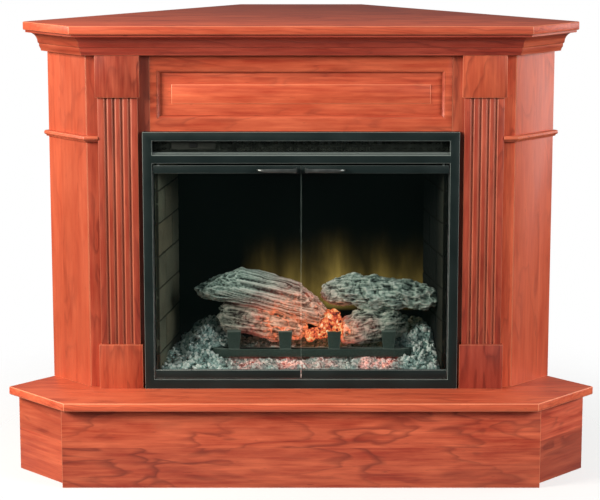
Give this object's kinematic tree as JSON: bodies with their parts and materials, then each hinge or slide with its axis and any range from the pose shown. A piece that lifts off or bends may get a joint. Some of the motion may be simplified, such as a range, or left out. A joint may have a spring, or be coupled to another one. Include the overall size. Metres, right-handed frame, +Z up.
{
  "type": "corner electric fireplace",
  "caption": "Corner mantel cabinet in cherry wood on a raised hearth, with fluted pilasters, a crown shelf, glass doors and an electric log fire.",
  "frame": {"origin": "middle of the footprint on the floor", "axes": "+X to the viewer's right along the front, +Y back into the corner of the room, +Z up; the front faces -Y"},
  "size_m": [1.3512, 0.6662, 1.044],
  "materials": {
    "cherry": "satin lacquer over a red cherry stain",
    "plain_wood": "unstained, sawn",
    "black_steel": "satin black",
    "bright_steel": "brushed",
    "galvanised": "zinc coated sheet",
    "glass": "clear, lightly smoked",
    "flame_screen": "smoked translucent sheet",
    "brick": "moulded brick relief",
    "embers": "moulded coals, lit from below",
    "bark": "moulded bark, ash grey",
    "grate_iron": "matt black",
    "grey_plate": "matt grey",
    "black_plastic": "moulded"
  },
  "bodies": {
    "cabinet": {"hearth_slab": "cherry", "hearth_front_board": "cherry", "hearth_side_board_right": "cherry", "hearth_side_board_left": "cherry", "hearth_wall_board_right": "plain_wood", "hearth_wall_board_left": "plain_wood", "hearth_back_board": "plain_wood", "face_stile_right": "cherry", "face_stile_left": "cherry", "side_panel_right": "cherry", "side_panel_left": "cherry", "wall_rail_right": "plain_wood", "wall_rail_left": "plain_wood", "back_rail": "plain_wood", "frieze_frame": "cherry", "frieze_panel": "cherry", "pilaster_right": "cherry", "pilaster_left": "cherry", "top_block_right": "cherry", "top_block_left": "cherry", "plinth_block_right": "cherry", "plinth_block_left": "cherry", "waist_band_right": "cherry", "waist_band_left": "cherry", "crown_front": "cherry", "crown_side_right": "cherry", "crown_side_left": "cherry", "mantel_shelf": "cherry", "casing_floor": "galvanised", "casing_top": "galvanised", "casing_wrap": "galvanised", "cord_gland": "black_plastic", "trim_frame": "black_steel", "grille_sheet": "black_steel", "control_plate": "grey_plate", "brick_liner_right": "brick", "brick_liner_left": "brick", "firebox_ceiling": "black_steel", "flame_screen": "flame_screen", "rotor_frame": "galvanised", "heater_frame": "galvanised", "heating_element": "grate_iron", "grate": "grate_iron", "log_lower_left": "bark", "log_lower_right": "bark", "log_upper_left": "bark", "log_upper_right": "bark", "ember_heap": "embers", "ember_bed": "embers"},
    "left_door": {"door_top_rail_left": "black_steel", "door_bottom_rail_left": "black_steel", "door_glass_left": "glass", "door_handle_left": "bright_steel"},
    "right_door": {"door_top_rail_right": "black_steel", "door_bottom_rail_right": "black_steel", "door_glass_right": "glass", "door_handle_right": "bright_steel"},
    "rocker": {"heat_rocker": "black_plastic"},
    "rotor": {"flicker_rotor": "bright_steel"},
    "blower": {"blower_wheel": "galvanised"}
  },
  "joints": [
    {"name": "left_door_hinge", "type": "hinge", "parent": "cabinet", "child": "left_door", "pos_m": [-0.322, -0.20508, 0.2], "axis": [0, 0, -1], "range_deg": [0, 105]},
    {"name": "right_door_hinge", "type": "hinge", "parent": "cabinet", "child": "right_door", "pos_m": [0.322, -0.20508, 0.2], "axis": [0, 0, 1], "range_deg": [0, 105]},
    {"name": "heat_rocker_tilt", "type": "hinge", "parent": "cabinet", "child": "rocker", "pos_m": [-0.244, -0.19608, 0.7685], "axis": [1, 0, 0], "range_deg": [-9, 9]},
    {"name": "flicker_rotor_spin", "type": "hinge", "parent": "cabinet", "child": "rotor", "pos_m": [0, 0.06242, 0.255], "axis": [1, 0, 0], "continuous": true},
    {"name": "blower_spin", "type": "hinge", "parent": "cabinet", "child": "blower", "pos_m": [0, -0.05558, 0.76], "axis": [1, 0, 0], "continuous": true}
  ]
}
